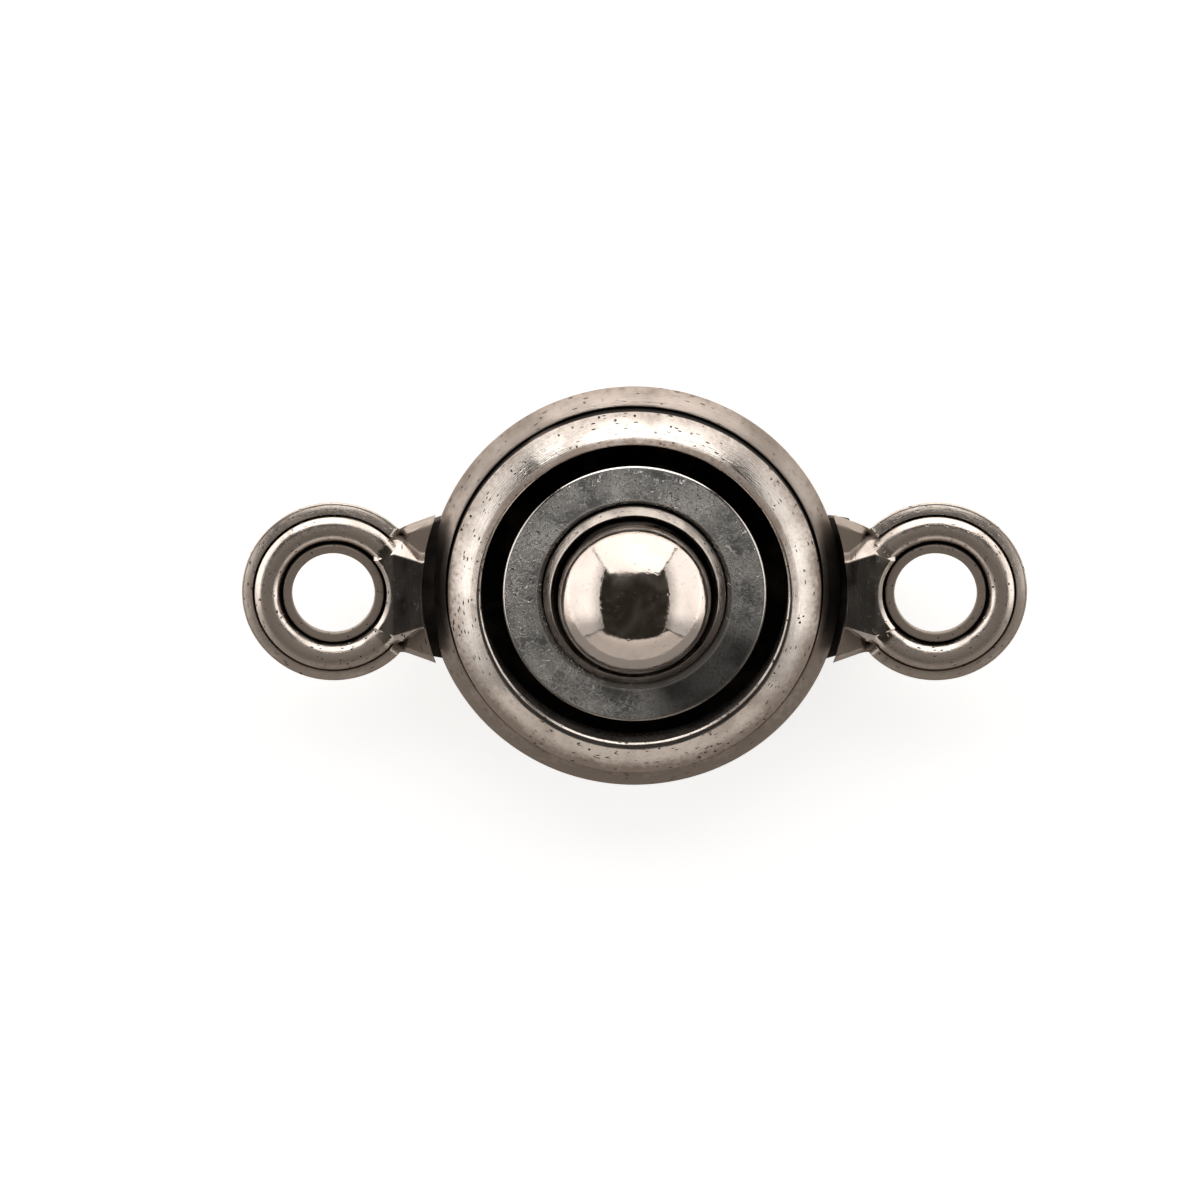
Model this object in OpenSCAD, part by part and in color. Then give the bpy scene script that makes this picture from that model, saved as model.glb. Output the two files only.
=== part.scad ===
// Ball and socket clasp: a round socket half with a loop, snapped over the ball of a second half with a loop.
// Millimetres, +Z up out of the face. The origin is the middle of the back plate's flat underside.

/* [Clasp] */
// Distance from the middle of the clasp to the middle of each loop
loop_reach = 7.68; // [7.66:0.01:7.9]
// Height of the face that the lips, arms and loops are measured from
face_z = 2.75; // [2.7:0.01:2.85]
// Widest radius of the round body
body_r = 5.28; // [5.26:0.01:5.30]
// Radius of the arc at which both arms end, just outside the body
arc_r = 5.43; // [5.41:0.01:5.45]

/* [Back plate] */
// Thickness of the back plate under the body
plate_t = 0.6; // [0.5:0.05:0.6]
// Radius of the round part of the back plate
plate_r = 3.95; // [3.8:0.05:4.0]
// Rounding of the back plate's lower edge
plate_round = 0.3; // [0.2:0.05:0.4]
// Width of the strap and riser under the ball half's arm, and of the root under the socket's arm
strap_w = 2.0; // [1.6:0.1:2.0]
// Running gap between the back plate and the turning shell above it
plate_gap = 0.06; // [0.05:0.01:0.1]

/* [Ball] */
// Radius of the ball
ball_r = 1.96; // [1.95:0.01:1.97]
// Radius of the neck under the ball
neck_r = 1.2; // [1.1:0.05:1.2]
// Radius of the pivot boss that turns in the shell's floor
boss_r = 1.97; // [1.96:0.01:1.98]
// Height of the pivot boss above the back plate
boss_h = 0.5; // [0.4:0.05:0.5]

/* [Shell] */
// Height of the shell's widest level below the face
widest_drop = 0.70; // [0.68:0.01:0.71]
// Thickness of the shell's floor
floor_t = 0.6; // [0.5:0.05:0.6]
// Radius of the bore in the floor, a running fit on the pivot boss
floor_bore_r = 2.02; // [2.02:0.01:2.04]
// Radius of the seat that holds the front ring
seat_r = 4.82; // [4.81:0.01:4.84]
// Height of the seat's rim below the face
rim_drop = 0.36; // [0.35:0.01:0.37]
// Radius of the open channel under the disc's edge
channel_r = 4.1; // [4.05:0.05:4.15]

/* [Front ring] */
// Outer radius of the front ring
ring_r = 4.77; // [4.76:0.01:4.78]
// Radius of the ring's inner lip
lip_r = 3.92; // [3.9:0.01:3.94]
// Height of the lip above the face
lip_rise = 0.12; // [0.08:0.01:0.2]
// Height of the ring's top edge above the face
ring_rise = 0.42; // [0.38:0.01:0.45]

/* [Disc and collar] */
// Outer radius of the etched disc
disc_r = 3.37; // [3.34:0.01:3.4]
// Radius of the recess in the disc's middle
recess_r = 2.48; // [2.46:0.01:2.5]
// Rise of the disc's face from its edge to the recess
disc_rise = 0.1; // [0.06:0.01:0.12]
// Radius of the hub that carries the disc
hub_r = 2.95; // [2.8:0.05:3.0]
// Outer radius of the collar
collar_r = 2.33; // [2.31:0.01:2.34]
// Height of the collar's top edge above the face
collar_rise = 0.35; // [0.3:0.01:0.36]
// Clearance between the ball and the collar's lip
ball_clear = 0.035; // [0.03:0.005:0.04]

/* [Loops] */
// Outer radius of each loop
loop_r = 2.35; // [2.33:0.01:2.37]
// Radius of the hole through each loop
hole_r = 1.05; // [1.03:0.01:1.06]
// Thickness of each loop below the face
loop_depth = 0.85; // [0.83:0.01:0.87]
// Height of the hole's straight wall, below which it opens out to the back
hole_wall = 0.2; // [0.2:0.05:0.3]
// Radius of the hole at the loop's back
hole_back_r = 1.32; // [1.2:0.02:1.34]
// Radius of the flat rim round the hole
rim_r = 1.27; // [1.26:0.01:1.28]
// Inner radius of the loop's domed ring
dome_in_r = 1.36; // [1.35:0.01:1.37]
// Outer radius of the loop's domed ring
dome_out_r = 2.04; // [2.03:0.01:2.05]

/* [Arms] */
// Half the arm's width at its neck beside the body
neck_half = 0.86; // [0.82:0.01:0.88]
// Half the arm's width where it meets the loop
head_half = 1.08; // [1.04:0.01:1.1]
// Half the web's width beside the body
web_half = 2.0; // [1.95:0.01:2.02]

/* [Hidden] */
$fn = 96;
over = 0.5;
seat_gap = 0.02;

body_colour = [0.62, 0.56, 0.51];
ring_colour = [0.70, 0.64, 0.59];
disc_colour = [0.42, 0.42, 0.41];
ball_colour = [0.78, 0.72, 0.67];

shell_z = plate_t + plate_gap;
floor_z = shell_z + floor_t;
widest_z = face_z - widest_drop;
rim_z = face_z - rim_drop;

// The shoulder is an arc that starts at the seat's rim with the first slope and ends at the body's side.
shoulder_slope = 30;
shoulder_r = 2.72;
shoulder_x = seat_r - shoulder_r * sin(shoulder_slope);
shoulder_z = rim_z - shoulder_r * cos(shoulder_slope);

// The bowl's outside is an arc that leaves the widest level with the first slope and ends with the second.
bowl_slope = 25;
bowl_end_slope = 80;
bowl_r = (widest_z - shell_z) / (sin(bowl_end_slope) - sin(bowl_slope));
bowl_x = body_r - bowl_r * cos(bowl_slope);
bowl_z = widest_z + bowl_r * sin(bowl_slope);

ledge_z = face_z - 0.85;

// The ring's front is an arc from its top edge, with the first slope, to its rim, with the second.
lip_z = face_z + lip_rise;
ring_top_z = face_z + ring_rise;
ring_top_r = lip_r + 0.09;
ring_in_slope = 18;
ring_out_slope = 34;
dome_r = (ring_r - ring_top_r) / (sin(ring_out_slope) - sin(ring_in_slope));
dome_x = ring_top_r - dome_r * sin(ring_in_slope);
dome_z = ring_top_z - dome_r * cos(ring_in_slope);
ring_low_z = dome_z + dome_r * cos(ring_out_slope);

disc_z = face_z + 0.08;
disc_under_z = disc_z - 0.42;
recess_step = 0.06;
recess_in_r = 2.37;
recess_fall = 0.18;

ball_z = face_z - 0.04;
collar_in_r = ball_r + ball_clear;
collar_top_z = face_z + collar_rise;
collar_top_r = collar_r - 0.19;
collar_edge_z = collar_top_z - 0.18;
collar_throat_z = collar_top_z - 0.3;
collar_lip_drop = 0.6;
collar_lip_h = 0.3;
collar_lip_z = ball_z - collar_lip_drop;
collar_lip_r = sqrt(ball_r * ball_r - collar_lip_drop * collar_lip_drop) + ball_clear;

loop_z = face_z - loop_depth;
rim_top_z = face_z + 0.02;
groove_z = face_z - 0.35;
crown_z = face_z + 0.18;
loop_dome_r = 0.37;
loop_dome_x = (dome_in_r + dome_out_r) / 2;
loop_dome_z = crown_z - loop_dome_r;
crease_r = dome_out_r + 0.04;
crease_z = face_z - 0.3;

// The tier's top is an arc from the crease to the loop's edge. Its underside falls in two slopes to the back.
tier_z = face_z - 0.28;
tier_in_slope = 20;
tier_out_slope = 34;
tier_r = (loop_r - crease_r) / (sin(tier_out_slope) - sin(tier_in_slope));
tier_x = loop_r - tier_r * sin(tier_out_slope);
tier_arc_z = tier_z - tier_r * cos(tier_out_slope);
side_z = tier_z - 0.06;
under_knee_r = loop_r - 0.18;
under_knee_z = side_z - 0.31;
under_foot_r = loop_r - 0.6;

arm_head_x = loop_reach - 1.55;
arm_end_x = loop_reach - 1.2;
arm_corner = 0.2;
arm_z = crown_z + 0.01;
arm_lip_r = dome_in_r + 0.04;
web_z = face_z - 0.25;
web_edge_z = web_z - 0.24;
web_low_z = web_z - 0.75;
web_inset = 0.2;
web_in_x = 4.4;
web_turn_x = 4.95;
web_out_x = 6.0;
web_out_half = 1.62;
root_top_z = widest_z + 0.04;
root_z = shell_z + 0.55;
root_in_x = 4.2;
riser_x = 6.25;
strap_in_x = plate_r - 0.6;

// The riser's inner side leans under the shell's bowl, from the first radius and height to the arc.
lean_r = 4.5;
lean_z = shell_z + 0.29;
lean_top_z = lean_z + arc_r - lean_r;

// A circle centred in the radial plane, for a section that is turned round the axis
module section_circle(x, z, r) {
    translate([x, z]) circle(r = r);
}

// A rectangle in the radial plane, from its lower inner corner to its upper outer corner
module section_box(x0, z0, x1, z1) {
    translate([x0, z0]) square([x1 - x0, z1 - z0]);
}

// The loop's section: a tier with a sloping underside, a half-round dome on it, and a flat rim round the hole
module loop_section() {
    difference() {
        union() {
            polygon([
                [hole_r, loop_z],
                [under_foot_r, loop_z],
                [under_knee_r, under_knee_z],
                [loop_r, side_z],
                [loop_r, tier_z],
                [hole_r, tier_z]
            ]);
            intersection() {
                section_circle(tier_x, tier_arc_z, tier_r);
                section_box(loop_dome_x, tier_z, loop_r, face_z);
            }
            section_box(hole_r, tier_z, rim_r, rim_top_z);
            intersection() {
                section_circle(loop_dome_x, loop_dome_z, loop_dome_r);
                section_box(dome_in_r, tier_z, dome_out_r, face_z + over);
            }
        }
        section_box(dome_out_r, crease_z, crease_r, face_z);
        section_box(rim_r, groove_z, dome_in_r, face_z);
        polygon([
            [hole_r - over, loop_z - over],
            [hole_back_r, loop_z - over],
            [hole_back_r, loop_z],
            [hole_r, rim_top_z - hole_wall],
            [hole_r - over, rim_top_z - hole_wall]
        ]);
    }
}

// The arm's flat top, from the neck beside the body to the loop's dome
module arm_outline() {
    polygon([
        [web_turn_x, -neck_half],
        [arc_r, -neck_half],
        [arm_head_x, -head_half],
        [arm_end_x, -head_half + arm_corner],
        [arm_end_x, head_half - arm_corner],
        [arm_head_x, head_half],
        [arc_r, neck_half],
        [web_turn_x, neck_half]
    ]);
}

// The web under the arm, narrower by an inset, which shows as a gusset on each side of the arm
module web_outline(inset) {
    polygon([
        [web_in_x, -web_half + inset],
        [web_turn_x, -web_half + inset],
        [web_out_x, -web_out_half + inset],
        [web_out_x, web_out_half - inset],
        [web_turn_x, web_half - inset],
        [web_in_x, web_half - inset]
    ]);
}

// An arm with its web and loop, pointing along +X and cut off at the arc beside the body above the web's root
module arm_and_loop() {
    difference() {
        union() {
            translate([loop_reach, 0, 0]) rotate_extrude() loop_section();
            translate([0, 0, web_edge_z]) linear_extrude(web_z - web_edge_z) web_outline(0);
            translate([0, 0, web_low_z]) linear_extrude(web_z - web_low_z - seat_gap) web_outline(web_inset);
            difference() {
                translate([0, 0, groove_z]) linear_extrude(arm_z - groove_z) arm_outline();
                translate([loop_reach, 0, 0]) cylinder(r = arm_lip_r, h = face_z + over);
            }
        }
        translate([0, 0, root_top_z]) cylinder(r = arc_r, h = face_z);
    }
}

// The back plate, its pivot boss, the strap and riser, and the ball half's arm and loop
module ball_plate() {
    color(body_colour) difference() {
        union() {
            rotate_extrude() {
                section_box(0, 0, plate_r - plate_round, plate_t);
                section_box(0, plate_round, plate_r, plate_t);
                section_circle(plate_r - plate_round, plate_round, plate_round);
                section_box(0, 0, boss_r, plate_t + boss_h);
            }
            difference() {
                union() {
                    translate([strap_in_x, -strap_w / 2, 0])
                        cube([riser_x - strap_in_x, strap_w, web_edge_z]);
                    arm_and_loop();
                }
                translate([0, 0, plate_t]) cylinder(r = lean_r, h = lean_z);
                translate([0, 0, lean_z]) cylinder(r1 = lean_r, r2 = arc_r, h = lean_top_z - lean_z);
                translate([0, 0, lean_top_z]) cylinder(r = arc_r, h = crown_z);
            }
        }
        translate([0, 0, -over]) cylinder(r = neck_r, h = plate_t + boss_h + 2 * over);
    }
}

// The polished ball on its neck, whose tail fills the back plate's bore
module ball_stud() {
    color(ball_colour) {
        translate([0, 0, ball_z]) sphere(r = ball_r);
        cylinder(r = neck_r, h = ball_z);
    }
}

// The bowl of the socket half, open at the top, with its arm and loop on the left
module socket_shell() {
    color(body_colour) difference() {
        union() {
            rotate_extrude() {
                section_box(0, shell_z, bowl_x, widest_z);
                intersection() {
                    section_circle(bowl_x, bowl_z, bowl_r);
                    section_box(bowl_x, shell_z, body_r, widest_z);
                }
                intersection() {
                    section_circle(shoulder_x, shoulder_z, shoulder_r);
                    section_box(channel_r, widest_z, body_r, face_z);
                }
            }
            mirror([1, 0, 0]) {
                arm_and_loop();
                translate([root_in_x, -strap_w / 2, root_z])
                    cube([riser_x - root_in_x, strap_w, root_top_z - root_z]);
            }
        }
        translate([0, 0, floor_z]) cylinder(r = channel_r, h = face_z);
        translate([0, 0, ledge_z]) cylinder(r = seat_r, h = face_z);
        translate([0, 0, shell_z - over]) cylinder(r = floor_bore_r, h = face_z);
    }
}

// The domed ring with a steep inner bevel, seated on the shell's ledge
module front_ring() {
    color(ring_colour) rotate_extrude() {
        polygon([
            [lip_r, ledge_z + seat_gap],
            [ring_r, ledge_z + seat_gap],
            [ring_r, ring_low_z],
            [ring_top_r, ring_low_z],
            [ring_top_r, ring_top_z],
            [lip_r, lip_z]
        ]);
        intersection() {
            section_circle(dome_x, dome_z, dome_r);
            section_box(ring_top_r, ring_low_z, ring_r, ring_top_z);
        }
    }
}

// The etched disc on its hub, with the recess for the collar in its middle
module socket_disc() {
    color(disc_colour) rotate_extrude() polygon([
        [recess_in_r, floor_z + seat_gap],
        [hub_r, floor_z + seat_gap],
        [hub_r, disc_under_z],
        [disc_r, disc_under_z],
        [disc_r, disc_z - 0.05],
        [disc_r - 0.05, disc_z],
        [recess_r, disc_z + disc_rise],
        [recess_r, disc_z + disc_rise - recess_step],
        [recess_in_r, disc_z + disc_rise - recess_fall]
    ]);
}

// The collar round the ball, with a sloping top, and the lip that holds the ball from below its middle
module spring_collar() {
    color(ring_colour) rotate_extrude() polygon([
        [collar_in_r, floor_z + seat_gap],
        [collar_r, floor_z + seat_gap],
        [collar_r, collar_edge_z],
        [collar_top_r, collar_top_z],
        [collar_in_r, collar_throat_z],
        [collar_in_r, collar_lip_z + collar_lip_h],
        [collar_lip_r, collar_lip_z],
        [collar_in_r, collar_lip_z - collar_lip_h]
    ]);
}

ball_plate();
ball_stud();
socket_shell();
front_ring();
socket_disc();
spring_collar();
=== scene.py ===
import math

import bpy
import numpy as np
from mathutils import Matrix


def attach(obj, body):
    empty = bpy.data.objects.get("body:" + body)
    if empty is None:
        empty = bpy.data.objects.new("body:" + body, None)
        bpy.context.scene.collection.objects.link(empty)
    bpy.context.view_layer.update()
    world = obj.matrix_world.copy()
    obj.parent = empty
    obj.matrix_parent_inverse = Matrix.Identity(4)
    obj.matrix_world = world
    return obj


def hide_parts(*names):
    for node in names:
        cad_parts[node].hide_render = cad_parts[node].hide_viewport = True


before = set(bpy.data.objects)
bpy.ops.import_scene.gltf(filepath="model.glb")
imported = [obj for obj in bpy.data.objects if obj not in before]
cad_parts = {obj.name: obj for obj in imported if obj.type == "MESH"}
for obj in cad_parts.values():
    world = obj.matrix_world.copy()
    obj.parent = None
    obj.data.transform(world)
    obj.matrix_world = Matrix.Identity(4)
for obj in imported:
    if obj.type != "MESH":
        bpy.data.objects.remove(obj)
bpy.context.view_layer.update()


# Back plate: the round foot of the ball half, with the low pivot boss that the socket half turns on. It is cast in
# pewter and tumbled until its edges are soft, and its bore takes the riveted tail of the ball.
# Sizes here and below are in millimetres, measured up from the table and out from the ball's axis.
mm = 0.001
plate_top = 0.6
plate_rim = 3.95
plate_round = 0.3
boss_top = 1.1
boss_rim = 1.97
neck = 1.2


def worn_outline(corners, wear, count):
    """A closed outline through the corners, with its corners worn round.

    The outline is dealt into even steps and blurred along its own length by a Gaussian of standard deviation wear.
    Its points are then dealt out again: half of their density is even, and half follows how fast the outline turns."""
    fine = 4096
    loop = np.vstack([corners, corners[:1]])
    length = np.append(0, np.cumsum(np.hypot(*np.diff(loop, axis=0).T)))
    even = np.linspace(0, length[-1], fine, endpoint=False)
    points = np.column_stack([np.interp(even, length, loop[:, k]) for k in (0, 1)])
    waves = np.fft.fftfreq(fine, length[-1] / fine)
    blur = np.exp(-2 * (math.pi * wear * waves) ** 2)
    points = np.fft.ifft(np.fft.fft(points, axis=0) * blur[:, None], axis=0).real
    step = np.roll(points, -1, 0) - points
    heading = np.arctan2(step[:, 1], step[:, 0])
    turning = np.abs(np.angle(np.exp(1j * (np.roll(heading, -1) - heading))))
    place = np.append(0, np.cumsum(0.5 / fine + 0.5 * turning / turning.sum()))
    chosen = np.interp(np.arange(count) / count, place / place[-1], np.arange(fine + 1))
    points = np.vstack([points, points[:1]])
    return np.column_stack([np.interp(chosen, np.arange(fine + 1), points[:, k]) for k in (0, 1)])


def arc(x, z, r, start, end, steps=48):
    """Points on a circle: (x + r cos t, z + r sin t) for the angle t from start to end, in degrees."""
    t = np.radians(np.linspace(start, end, steps))
    return np.column_stack([x + r * np.cos(t), z + r * np.sin(t)])


def turned(outline, turns):
    """A surface of revolution as a grid: each outline point (r, z) goes to (r cos a, r sin a, z) round the axis."""
    a = np.linspace(0, 2 * math.pi, turns, endpoint=False)[:, None]
    r, z = outline.T
    return np.stack([r * np.cos(a), r * np.sin(a), z + 0 * a], -1)


def turned_grain(grid, middle=(0, 0)):
    """The metal's own coordinates on a turned piece, in millimetres: a circle of the piece's mean radius for the way
    round, and the running length of the section for the third, so that a stretched pattern follows the turning."""
    x, y = grid[..., 0] - middle[0], grid[..., 1] - middle[1]
    a = np.arctan2(y, x)
    mean = np.hypot(x, y).mean()
    steps = np.linalg.norm(np.diff(grid, axis=1), axis=-1).mean(0)
    along = np.append(0, np.cumsum(steps))
    return np.stack([mean * np.cos(a), mean * np.sin(a), along + 0 * a], -1)


def outward(grid):
    """Unit normals of a grid that closes both ways: the cross product of its two central differences."""
    round_it = np.roll(grid, -1, 0) - np.roll(grid, 1, 0)
    along = np.roll(grid, -1, 1) - np.roll(grid, 1, 1)
    normal = np.cross(round_it, along)
    return normal / np.maximum(np.linalg.norm(normal, axis=-1, keepdims=True), 1e-9)


def hand_polished(grid, depth, most_waves, seed):
    """Slow ripples left by polishing by hand: each point moves along its normal by the mean of some sines, each with
    a whole number of waves round the piece and along its section, and a phase drawn from a seeded generator."""
    sines = 12
    draw = np.random.default_rng(seed)
    columns, rows = grid.shape[:2]
    a = np.linspace(0, 2 * math.pi, columns, endpoint=False)[:, None]
    b = np.linspace(0, 2 * math.pi, rows, endpoint=False)[None]
    waves = np.column_stack([draw.integers(2, most_waves, sines), draw.integers(0, 4, sines)])
    phases = draw.uniform(0, 2 * math.pi, sines)
    height = sum(np.sin(m * a + q * b + p) for (m, q), p in zip(waves, phases)) / sines
    return grid + outward(grid) * (depth * height)[..., None]


def finished_piece(name, points, faces, layers, finish, body):
    """A smooth mesh of the points, in millimetres, and faces, set in its place and riding on its body.

    Layers holds what its material reads at each point: grain is the metal's own coordinates, patina_and_shade how
    brown it is and tarnish how black. On most pieces both of them also carry painted shade."""
    mesh = bpy.data.meshes.new(name)
    mesh.from_pydata(points * mm, [], faces)
    mesh.polygons.foreach_set("use_smooth", np.ones(len(mesh.polygons), bool))
    mesh.attributes.new("grain", "FLOAT_VECTOR", "POINT").data.foreach_set("vector", layers["grain"].ravel())
    for layer in ("patina_and_shade", "tarnish"):
        mesh.attributes.new(layer, "FLOAT", "POINT").data.foreach_set("value", layers[layer].ravel())
    mesh.materials.append(finish)
    piece = bpy.data.objects.new(name, mesh)
    bpy.context.scene.collection.objects.link(piece)
    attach(piece, body)
    return piece


def cast_piece(name, grid, body, finish, grain=None, tarnish=0.0, patina_and_shade=0.0, poles=False):
    """A closed mesh over a grid of points in millimetres, joined to its neighbours by quads.

    The columns close on each other. So do the rows, unless the first and last are poles: then each is one point, and
    triangles close the surface there. The grain is the grid itself unless another is given."""
    columns, rows = grid.shape[:2]
    inner = slice(1, -1) if poles else slice(None)

    def laid_out(values):
        """The grid's values in the order of the mesh's points: row by row in each column, and the poles at the end."""
        flat = values[:, inner].reshape(-1, *values.shape[2:])
        return np.concatenate([flat, values[:1, 0], values[:1, -1]]) if poles else flat

    number = np.arange(columns * (rows - 2 * poles)).reshape(columns, -1)
    ahead = np.roll(number, -1, 0)
    if poles:
        quads = np.stack([number[:, :-1], ahead[:, :-1], ahead[:, 1:], number[:, 1:]], -1).reshape(-1, 4)
        first, last = np.full(columns, number.size), np.full(columns, number.size + 1)
        fans = np.vstack([np.column_stack([first, ahead[:, 0], number[:, 0]]),
                          np.column_stack([last, number[:, -1], ahead[:, -1]])])
        faces = quads.tolist() + fans.tolist()
    else:
        faces = np.stack([number, ahead, np.roll(ahead, -1, 1), np.roll(number, -1, 1)], -1).reshape(-1, 4).tolist()
    layers = {"grain": laid_out(grid if grain is None else grain)}
    for layer, values in (("patina_and_shade", patina_and_shade), ("tarnish", tarnish)):
        layers[layer] = laid_out(np.broadcast_to(np.clip(values, 0, 1), (columns, rows)))
    return finished_piece(name, laid_out(grid), faces, layers, finish, body)


def shader_node(tree, kind, sockets, **settings):
    """Adds a shader node. Each of its sockets gets a value, or a link where an output is given for it."""
    made = tree.nodes.new("ShaderNode" + kind)
    for key, value in settings.items():
        setattr(made, key, value)
    for socket, value in sockets.items():
        if isinstance(value, bpy.types.NodeSocket):
            tree.links.new(value, made.inputs[socket])
        else:
            made.inputs[socket].default_value = value
    return made


def blend_colours(tree, share, first, second):
    """first where share is 0 and second where it is 1."""
    return shader_node(tree, "Mix", {0: share, 6: first, 7: second}, data_type="RGBA").outputs[2]


def calculate(tree, operation, a, b=0.0, clamp=False):
    """One step of arithmetic on two values."""
    return shader_node(tree, "Math", {0: a, 1: b}, operation=operation, use_clamp=clamp).outputs[0]


def rise(tree, value, low, high):
    """0 up to low and 1 from high on, with a smooth step between; it falls instead where low is the higher."""
    made = shader_node(tree, "MapRange", {0: value, 1: low, 2: high}, interpolation_type="SMOOTHSTEP")
    return made.outputs[0]


def antiqued(name, bright, deep, shine, pits=0.5, lines=0.3, clouds=0.5, film=0.45, grime_and_shade=(0.012, 0.010, 0.009, 1)):
    """Polished pewter that was blackened and rubbed bright again.

    The colour goes from bright to deep with slow clouds of noise and with the patina_and_shade attribute, then to grime
    in small pits, in short dashes along the turning, and with the tarnish attribute. Both attributes also carry painted
    shade, which these deep and grime colours draw. The same marks make it rougher and sink into its surface. Film is
    how much of the metal's gleam the deep colour hides."""
    material = bpy.data.materials.new(name)
    material.use_nodes = True
    tree = material.node_tree
    shader = tree.nodes["Principled BSDF"]
    grain = shader_node(tree, "Attribute", {}, attribute_name="grain").outputs["Vector"]
    dark = shader_node(tree, "Attribute", {}, attribute_name="tarnish").outputs["Fac"]
    brown = shader_node(tree, "Attribute", {}, attribute_name="patina_and_shade").outputs["Fac"]

    def noise(vector, scale, detail=3.0, twist=0.0):
        """Cloudy values about 0.5. Each cloud is 1 / scale wide, and twist bends them."""
        made = shader_node(tree, "TexNoise", {"Vector": vector, "Scale": scale, "Detail": detail, "Distortion": twist})
        return made.outputs[0]

    def stretched(across):
        """The grain with its third coordinate multiplied by across, which draws a pattern out round the piece."""
        return shader_node(tree, "Mapping", {"Vector": grain, "Scale": (1, 1, across)}).outputs[0]

    def spots(vector, scale, size, chosen):
        """Dots at the middles of random cells: 1 within half the size and 0 past the size, in so many of the cells."""
        cells = shader_node(tree, "TexVoronoi", {"Vector": vector, "Scale": scale})
        picked = shader_node(tree, "SeparateColor", {0: cells.outputs["Color"]}).outputs[0]
        here = rise(tree, cells.outputs["Distance"], size, size * 0.5)
        return calculate(tree, "MULTIPLY", here, rise(tree, picked, chosen, chosen - 0.06))

    # Slow clouds and a small mottle, and the pits and dashes, which lie in patches.
    slow = noise(grain, 0.9, 4.0, 0.4)
    small = noise(grain, 9.0, 3.0)
    patches = rise(tree, noise(grain, 1.7, 2.0), 0.38, 0.56)
    round_pits = calculate(tree, "MULTIPLY", spots(grain, 6.0, 0.25, 0.34), patches)
    dashes = calculate(tree, "MULTIPLY", spots(stretched(3.5), 4.0, 0.27, 0.42), patches)
    marks = calculate(tree, "MULTIPLY", calculate(tree, "MAXIMUM", round_pits, dashes), pits, clamp=True)
    hairlines = noise(stretched(14.0), 3.0, 2.0)

    # The colour, from bright over brown to the black of the marks and the tarnish, and the painted shade in both.
    cloud = calculate(tree, "MULTIPLY", rise(tree, slow, 0.40, 0.72), clouds)
    speck = calculate(tree, "MULTIPLY", rise(tree, small, 0.55, 0.85), clouds)
    brown = calculate(tree, "ADD", brown, calculate(tree, "MULTIPLY", calculate(tree, "SUBTRACT", small, 0.5), brown))
    stain_and_shade = calculate(tree, "ADD", calculate(tree, "MAXIMUM", cloud, speck), brown, clamp=True)
    colour = blend_colours(tree, stain_and_shade, bright, deep)
    uneven = calculate(tree, "ADD", dark, calculate(tree, "MULTIPLY", calculate(tree, "SUBTRACT", slow, 0.5), dark))
    soot_and_shade = calculate(tree, "MAXIMUM", marks, uneven, clamp=True)
    colour = blend_colours(tree, soot_and_shade, colour, grime_and_shade)
    tree.links.new(colour, shader.inputs["Base Color"])

    # Stain, soot and painted shade are rougher than bright metal.
    rough = calculate(tree, "MULTIPLY_ADD", small, 0.10)
    rough.node.inputs[2].default_value = shine - 0.05
    rough = calculate(tree, "ADD", rough, calculate(tree, "MULTIPLY", stain_and_shade, 0.22))
    rough = calculate(tree, "ADD", rough, calculate(tree, "MULTIPLY", soot_and_shade, 0.35), clamp=True)
    tree.links.new(rough, shader.inputs["Roughness"])

    # The marks are sunk and hairlines follow the turning.
    sunk = calculate(tree, "MULTIPLY", marks, -1.5)
    height = calculate(tree, "ADD", sunk, calculate(tree, "MULTIPLY", hairlines, lines))
    height = calculate(tree, "ADD", height, calculate(tree, "MULTIPLY", small, 0.25))
    bump = shader_node(tree, "Bump", {"Strength": 1.0, "Distance": 0.008 * mm, "Height": height})
    tree.links.new(bump.outputs[0], shader.inputs["Normal"])
    gleam = calculate(tree, "SUBTRACT", 1.0, calculate(tree, "MULTIPLY", stain_and_shade, film))
    tree.links.new(gleam, shader.inputs["Metallic"])
    return material


satin_pewter = antiqued("satin_pewter", (0.56, 0.48, 0.425, 1), (0.29, 0.235, 0.195, 1), 0.30, lines=0.6)

plate_outline = worn_outline(np.vstack([
    [[neck, 0], [plate_rim - plate_round, 0]],
    arc(plate_rim - plate_round, plate_round, plate_round, -90, 0, 12),
    [[plate_rim, plate_top], [boss_rim, plate_top], [boss_rim, boss_top], [neck, boss_top]],
]), wear=0.03, count=90)
plate_grid = turned(plate_outline, 256)
plate_polished = hand_polished(plate_grid, depth=0.004, most_waves=12, seed=1)
back_plate = cast_piece("back_plate", plate_polished, "ball_half", satin_pewter,
                        turned_grain(plate_grid), tarnish=0.15)
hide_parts("ball_plate")


# Strap and riser of the ball half: a flat bar cast in one with the back plate. It passes under the shell and turns up
# outside it, with a soft elbow, to carry the arm. A web spreads from it under the arm, and the riser's inner side is
# cut back, to leave the round shell room to turn.
arc_rim = 5.43
bar_half = 1.0
bar_end = 6.25
bar_edge = 0.06
bar_patina = 0.5
# The bars are painted nearly black: painted shade, for they lie under the arm and beside the shell.
bar_painted_shade = 0.85
web_half = 1.8
web_turn = 4.95
web_end = (6.0, 1.42)
web_low = 1.75
web_top = 2.30
web_sunk = 0.05
rib_heights = (1.70, 1.87)
rib_spread = (20.3, -22.4)
rib_back = [[5.5, -1.80], [5.5, 1.72]]
rib_rim = 5.24
strap_start = 3.35
riser_start = 4.5
riser_cut = (0.95, 1.88)
riser_top = 2.26
riser_round = 0.3
riser_side = np.vstack([
    [[strap_start, 0], [strap_start, plate_top], [riser_start, plate_top], [riser_start, riser_cut[0]],
     [arc_rim, riser_cut[1]], [arc_rim, riser_top], [bar_end, riser_top]],
    arc(bar_end - riser_round, riser_round, riser_round, 0, -90, 8)])


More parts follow.
